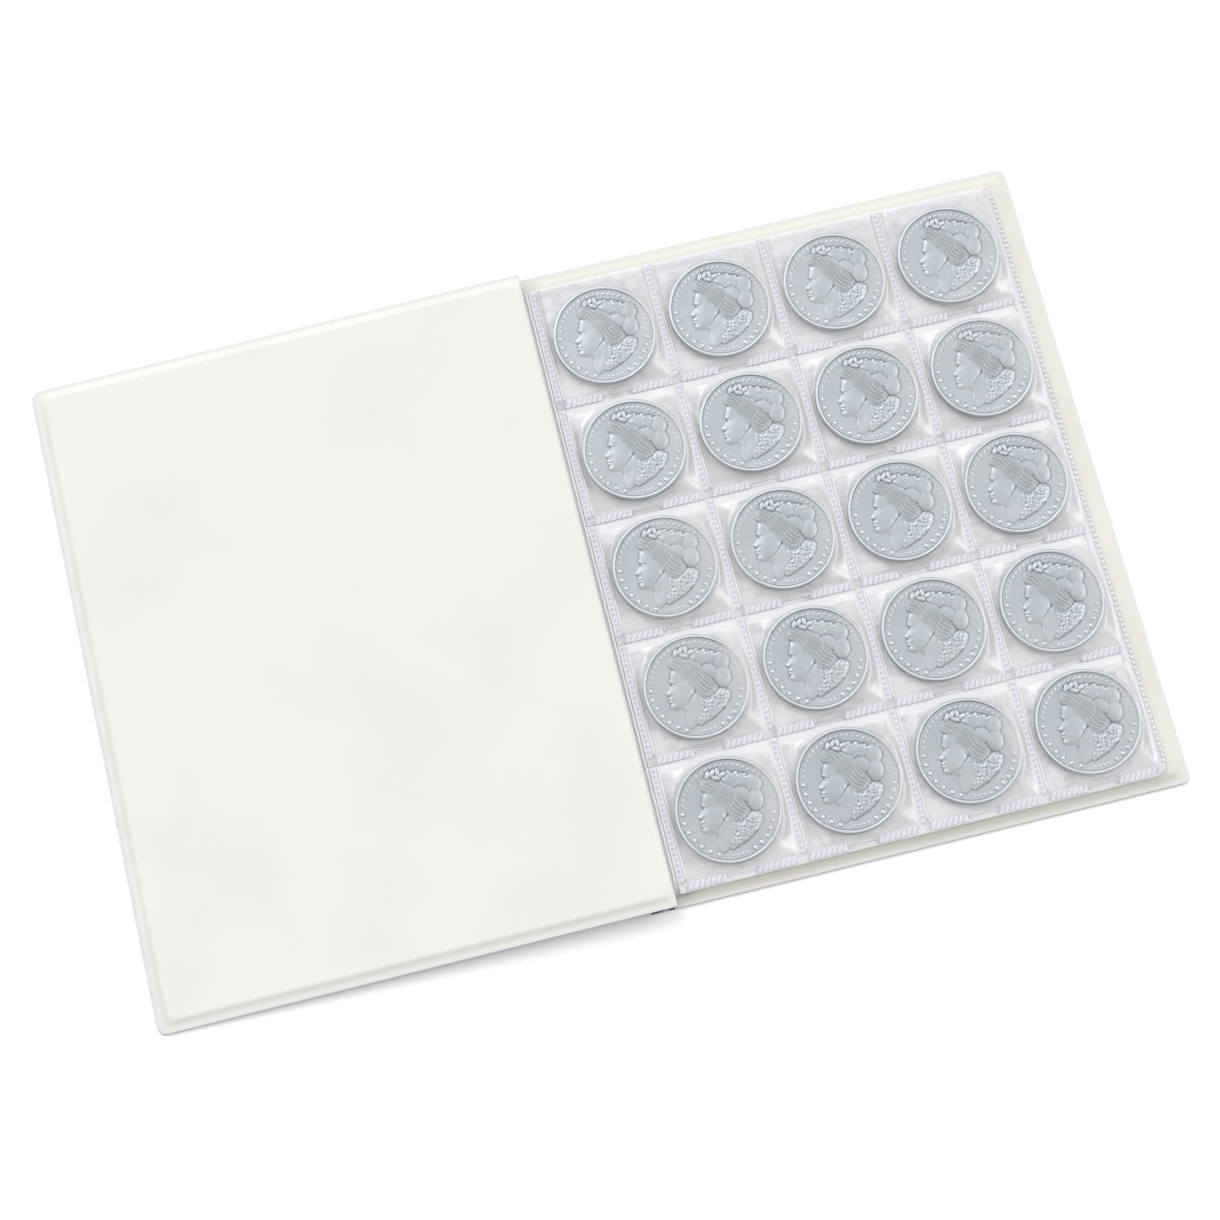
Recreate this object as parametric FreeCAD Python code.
import FreeCAD, Part
import math
import os

os.makedirs("parts", exist_ok=True)

# A coin album lying open on a table, in millimetres, +Z up. The origin is on the table
# under the middle of the open album. X runs from the front cover (left) to the back
# cover and its pages (right), and Y runs up the pages.

Vector = FreeCAD.Vector
ACROSS = Vector(1, 0, 0)
UP_THE_PAGE = Vector(0, 1, 0)
UP = Vector(0, 0, 1)

# Covers: a leatherette skin and a vinyl lining, welded round a sheet of board
cover_width = 185.0
cover_height = 242.0
cover_corner = 3.0
skin_thickness = 0.8
board_thickness = 1.4
lining_thickness = 0.4
rim_width = 3.0
hinge_rim_width = 0.5
rim_slope = 0.9
board_clearance = 0.1
cover_thickness = skin_thickness + board_thickness + lining_thickness
rim_thickness = skin_thickness + lining_thickness

# How the open album lies
half_span = 186.7
cover_half_height = cover_height / 2
front_hinge_height = 6.5
front_slope = math.asin(front_hinge_height / cover_width)
back_edge_x = half_span - cover_width
front_edge_x = -half_span + cover_width * math.cos(front_slope) + cover_thickness * math.sin(front_slope)

# Soft spine, folded double under the front cover
spine_pad = 0.4
spine_thickness = skin_thickness + spine_pad + lining_thickness
hinge_gap = 1.2
crease_gap = 2.5
front_hinge_gap = 3.2
back_cover_reach = 0.2
strip_thickness = 0.6
strip_clearance = 0.05
strip_lift = 0.3
crease_bulge = 0.75
back_hinge_setback = 5.3
crease_setback = 6.6
front_hinge_setback = 1.4
back_hinge_x = back_edge_x - back_hinge_setback
crease_x = back_hinge_x - crease_setback
crease_z = 1.0
front_hinge_x = front_edge_x - front_hinge_setback
front_hinge_z = front_hinge_height + rim_thickness / 2

# Pages
page_count = 6
columns = 4
rows = 5
pitch_x = 44.0
pitch_y = 45.65
film = 0.15
page_gap = 0.06
seam_width = 3.4
weld_width = 3.0
page_corner = 5.0
page_top_margin = 1.1
page_bottom_margin = 2.05
page_right_margin = 1.1
mouth_drop = 3.5
first_seam_inset = 0.3
pockets_top_inset = 7.5
page_left_margin = 0.2
first_seam_x = back_edge_x + first_seam_inset
pockets_top_y = cover_half_height - pockets_top_inset
page_left_x = first_seam_x - seam_width / 2 - page_left_margin
page_right_x = first_seam_x + columns * pitch_x + page_right_margin
page_top_y = pockets_top_y + page_top_margin
page_bottom_y = pockets_top_y - rows * pitch_y - page_bottom_margin
pages_z = cover_thickness + page_gap

# Coins and the room round them in a pocket
coin_diameter = 38.1
coin_thickness = 2.4
coin_rim_width = 1.3
coin_field_depth = 0.2
coin_play = 0.05
coin_drop = 0.2
pocket_wall_run = 0.5

# The clear strip that all the pages are welded to
binding_width = 2.1
binding_height = 3.3
binding_gap = 0.4


def export(node, solids):
    """Write one node: a single solid, or a group of separate solids."""
    shape = solids[0] if len(solids) == 1 else Part.makeCompound(solids)
    shape.exportStep("parts/" + node + ".step")
    volume = sum(solid.Volume for solid in solids)
    print("%-26s %2d solid(s) %10.1f mm3" % (node, len(solids), volume))


def outline(x0, x1, y0, y1, z, left_radius, right_radius):
    """A rectangle at height z whose left and right corners are rounded; a radius may be 0."""
    bend = math.sqrt(0.5)
    corners = [
        (x0, y0, 1, 1, left_radius, 180),
        (x1, y0, -1, 1, right_radius, 270),
        (x1, y1, -1, -1, right_radius, 0),
        (x0, y1, 1, -1, left_radius, 90),
    ]
    edges = []
    starts = []
    ends = []
    for x, y, inward_x, inward_y, radius, angle in corners:
        if radius <= 0:
            starts.append(Vector(x, y, z))
            ends.append(Vector(x, y, z))
            continue
        centre = Vector(x + inward_x * radius, y + inward_y * radius, z)
        first = math.radians(angle)
        start = centre + Vector(math.cos(first), math.sin(first), 0) * radius
        end = centre + Vector(-math.sin(first), math.cos(first), 0) * radius
        middle = centre + Vector(-inward_x * bend, -inward_y * bend, 0) * radius
        edges.append(Part.Arc(start, middle, end).toShape())
        starts.append(start)
        ends.append(end)
    for i, end in enumerate(ends):
        edges.append(Part.makeLine(end, starts[(i + 1) % len(starts)]))
    return Part.Wire(Part.__sortEdges__(edges))


def plate(x0, x1, y0, y1, z0, z1, left_radius=0.0, right_radius=0.0):
    """A flat sheet with rounded corners."""
    face = Part.Face(outline(x0, x1, y0, y1, z0, left_radius, right_radius))
    return face.extrude(UP * (z1 - z0))


def panel(x0, x1, y0, y1, z0, z1, inset0, inset1, radius):
    """A raised panel whose four sides slope in from inset0 at the foot to inset1 at the top."""
    foot = outline(x0 + inset0, x1 - inset0, y0 + inset0, y1 - inset0, z0, radius, radius)
    top = outline(x0 + inset1, x1 - inset1, y0 + inset1, y1 - inset1, z1, radius, radius)
    return Part.makeLoft([foot, top], True, True)


def cover_parts(x0, x1, board_x0):
    """Skin, board and lining of one cover lying flat, its fore edge at x1 and its hinge at x0."""
    y0 = -cover_half_height
    y1 = cover_half_height
    under = skin_thickness + board_thickness
    skin = plate(x0, x1, y0, y1, 0, skin_thickness, 0.0, cover_corner)
    raised = panel(board_x0, x1, y0, y1, skin_thickness, cover_thickness,
                   rim_width, rim_width + rim_slope, cover_corner)
    hollow = panel(board_x0, x1, y0, y1, skin_thickness, under,
                   rim_width + lining_thickness, rim_width + lining_thickness + rim_slope, cover_corner)
    border = plate(x0, x1, y0, y1, skin_thickness, rim_thickness, 0.0, cover_corner)
    lining = border.fuse(raised).cut(hollow).removeSplitter()
    board = panel(board_x0, x1, y0, y1, skin_thickness, under - board_clearance,
                  rim_width + lining_thickness + board_clearance,
                  rim_width + lining_thickness + rim_slope + board_clearance, cover_corner)
    return {"outer_skin": skin, "board": board, "lining": lining}


def back_cover():
    """The cover under the pages, flat on the table, reaching left to the spine's hinge."""
    hinge_side = back_hinge_x + hinge_gap - back_cover_reach
    for name, solid in cover_parts(hinge_side, half_span, back_edge_x).items():
        export("back_" + name, [solid])


def front_cover():
    """The other cover, opened flat to the left, its hinge edge raised on the folded spine."""
    x0 = -half_span + cover_thickness * math.sin(front_slope)
    board_x0 = -cover_width - rim_width + hinge_rim_width
    for name, solid in cover_parts(-cover_width, 0.0, board_x0).items():
        solid.rotate(Vector(-cover_width / 2, 0, 0), UP, 180)
        solid.translate(Vector(x0 + cover_width, 0, 0))
        solid.rotate(Vector(x0, 0, 0), UP_THE_PAGE, -math.degrees(front_slope))
        export("front_" + name, [solid])


def spine_layers(length):
    """Skin, pad and lining of a stretch of the spine, lying along +X from 0 with the skin below."""
    y0 = -cover_half_height
    y1 = cover_half_height
    pad_top = skin_thickness + spine_pad
    half = spine_thickness / 2
    layers = {
        "skin": plate(0, length, y0, y1, 0, skin_thickness),
        "pad": plate(0, length, y0 + rim_width, y1 - rim_width, skin_thickness, pad_top),
        "lining": plate(0, length, y0, y1, pad_top, spine_thickness),
    }
    for solid in layers.values():
        solid.translate(UP * -half)
    return layers


def soft_spine():
    """The spine strip in two halves, which meet at the crease it is folded along."""
    lower_length = back_hinge_x - crease_x - 2 * hinge_gap
    for name, solid in spine_layers(lower_length).items():
        solid.translate(Vector(crease_x + hinge_gap, 0, spine_thickness / 2))
        export("spine_lower_" + name, [solid])
    rise = math.atan2(front_hinge_z - crease_z, front_hinge_x - crease_x)
    whole = math.hypot(front_hinge_z - crease_z, front_hinge_x - crease_x)
    for name, solid in spine_layers(whole - crease_gap - front_hinge_gap).items():
        solid.rotate(Vector(0, 0, 0), ACROSS, 180)
        solid.translate(Vector(crease_gap, 0, 0))
        solid.rotate(Vector(0, 0, 0), UP_THE_PAGE, -math.degrees(rise))
        solid.translate(Vector(crease_x, 0, crease_z))
        export("spine_upper_" + name, [solid])


def hinge_strip(node, points):
    """A flexible strip of welded skin and lining, bent round a hinge: an arc through three points."""
    start, middle, end = [Vector(x, -cover_half_height, z) for x, z in points]
    arc = Part.Arc(start, middle, end).toShape()
    centre = arc.Curve.Center
    inner = [point + (centre - point).normalize() * strip_thickness for point in (start, middle, end)]
    edges = [
        arc,
        Part.makeLine(end, inner[2]),
        Part.Arc(inner[2], inner[1], inner[0]).toShape(),
        Part.makeLine(inner[0], start),
    ]
    strip = Part.Face(Part.Wire(edges)).extrude(UP_THE_PAGE * cover_height)
    export(node, [strip])


def cover_hinges():
    """The three lines that the cover folds along, at rest: nearly flat, folded back and folded under."""
    rise = math.atan2(front_hinge_z - crease_z, front_hinge_x - crease_x)
    along = Vector(math.cos(rise), 0, math.sin(rise))
    normal = Vector(-math.sin(rise), 0, math.cos(rise))
    crease = Vector(crease_x, 0, crease_z)
    hinge = Vector(front_hinge_x, 0, front_hinge_z)
    fold_end = crease + along * (crease_gap - strip_clearance) + normal * strip_thickness
    upper_end = hinge - along * (front_hinge_gap - strip_clearance) - normal * strip_thickness
    hinge_strip("back_hinge_strip", [
        (back_hinge_x + hinge_gap - back_cover_reach - strip_clearance, strip_lift + strip_thickness),
        (back_hinge_x, 2 * strip_lift + strip_thickness),
        (back_hinge_x - hinge_gap + strip_clearance, strip_lift + strip_thickness),
    ])
    hinge_strip("spine_crease_strip", [
        (crease_x + hinge_gap - strip_clearance, strip_lift),
        (crease_x - crease_bulge, crease_z + strip_lift),
        (fold_end.x, fold_end.z),
    ])
    hinge_strip("front_hinge_strip", [
        (front_edge_x - strip_clearance, front_hinge_height - strip_thickness - strip_clearance),
        (front_hinge_x, front_hinge_height - crease_bulge - strip_thickness - strip_lift),
        (upper_end.x, upper_end.z),
    ])


def pocket_columns_section(z):
    """The section of a filled page's front film: flat at the seams, raised over each coin."""
    height = coin_thickness + 2 * coin_play
    inner = [(page_left_x, 0.0)]
    outer = [(page_left_x, film)]
    for column in range(columns):
        left = first_seam_x + column * pitch_x + seam_width / 2
        right = left + pitch_x - seam_width
        inner += [(left, 0), (left + pocket_wall_run, height), (right - pocket_wall_run, height), (right, 0)]
        outer += [(left - film, film), (left + pocket_wall_run - film, height + film),
                  (right - pocket_wall_run + film, height + film), (right + film, film)]
    inner.append((page_right_x, 0.0))
    outer.append((page_right_x, film))
    return [Vector(x, 0, z + height_above) for x, height_above in inner + outer[::-1]]


def row_bottom(row):
    """The middle of the weld under a row of pockets, counted from 1 at the top."""
    return pockets_top_y - row * pitch_y


def row_mouth(row):
    """The open top edge of a row's pocket strip."""
    if row == 1:
        return pockets_top_y
    return row_bottom(row - 1) - weld_width / 2 - mouth_drop


def strip_foot(row):
    """The lower edge of a pocket strip: the last row reaches the page's own bottom edge."""
    if row == rows:
        return page_bottom_y
    return row_bottom(row) - weld_width / 2


def page_plate(y0, y1, z):
    """One thickness of film over a page's width, its outer corners rounded where they are the page's."""
    sheet = plate(page_left_x, page_right_x, y0, y1, z, z + film)
    page = plate(page_left_x, page_right_x, page_bottom_y, page_top_y, z, z + film, 0.0, page_corner)
    return sheet.common(page)


def filled_strip(row, z):
    """A strip of four pockets with coins in it: open at the top, closed at its sides and foot."""
    weld_top = row_bottom(row) + weld_width / 2
    points = pocket_columns_section(z)
    face = Part.Face(Part.makePolygon(points + points[:1]))
    face.translate(Vector(0, weld_top, 0))
    strip = face.extrude(UP_THE_PAGE * (row_mouth(row) - weld_top))
    strip = strip.fuse(page_plate(strip_foot(row), weld_top, z))
    wall_height = coin_thickness + 2 * coin_play + film
    for column in range(columns):
        left = first_seam_x + column * pitch_x + seam_width / 2
        corners = [
            Vector(left, weld_top, z),
            Vector(left + pocket_wall_run, weld_top, z + wall_height - film),
            Vector(left + pitch_x - seam_width - pocket_wall_run, weld_top, z + wall_height - film),
            Vector(left + pitch_x - seam_width, weld_top, z),
        ]
        wall = Part.Face(Part.makePolygon(corners + corners[:1])).extrude(UP_THE_PAGE * film)
        strip = strip.fuse(wall)
    return strip.removeSplitter()


def coin(x, y, z):
    """A struck disc with a raised rim on both faces."""
    radius = coin_diameter / 2
    field = radius - coin_rim_width
    slope = coin_field_depth
    profile = [
        (0, coin_field_depth), (field - slope, coin_field_depth), (field, 0), (radius, 0),
        (radius, coin_thickness), (field, coin_thickness),
        (field - slope, coin_thickness - coin_field_depth), (0, coin_thickness - coin_field_depth),
    ]
    points = [Vector(x + r, y, z + h) for r, h in profile]
    face = Part.Face(Part.makePolygon(points + points[:1]))
    return face.revolve(Vector(x, y, z), UP, 360)


def empty_page(number, z):
    """A page with nothing in its pockets: the five strips lie flat on the back film."""
    name = "page_%02d_" % number
    export(name + "back_film", [page_plate(page_bottom_y, page_top_y, z)])
    strips = [page_plate(strip_foot(row), row_mouth(row), z + film) for row in range(1, rows + 1)]
    export(name + "pocket_strips", strips)


def filled_page(z):
    """The top page: its back film, five pocket strips and twenty coins."""
    export("page_01_back_film", [page_plate(page_bottom_y, page_top_y, z)])
    for row in range(1, rows + 1):
        export("page_01_pocket_strip_%d" % row, [filled_strip(row, z + film)])
        for column in range(1, columns + 1):
            x = first_seam_x + (column - 0.5) * pitch_x
            y = row_bottom(row) + pitch_y / 2 - coin_drop
            export("coin_row%d_col%d" % (row, column), [coin(x, y, z + film + coin_play)])


def pages():
    """The stack of pages, numbered from the top, and the strip that binds them."""
    empty_step = 2 * film + page_gap
    for number in range(page_count, 1, -1):
        empty_page(number, pages_z + (page_count - number) * empty_step)
    filled_page(pages_z + (page_count - 1) * empty_step)
    right = page_left_x - binding_gap
    binding_foot = rim_thickness
    strip = plate(right - binding_width, right, page_bottom_y, page_top_y,
                  binding_foot, binding_foot + binding_height)
    export("page_binding_strip", [strip])


back_cover()
front_cover()
soft_spine()
cover_hinges()
pages()
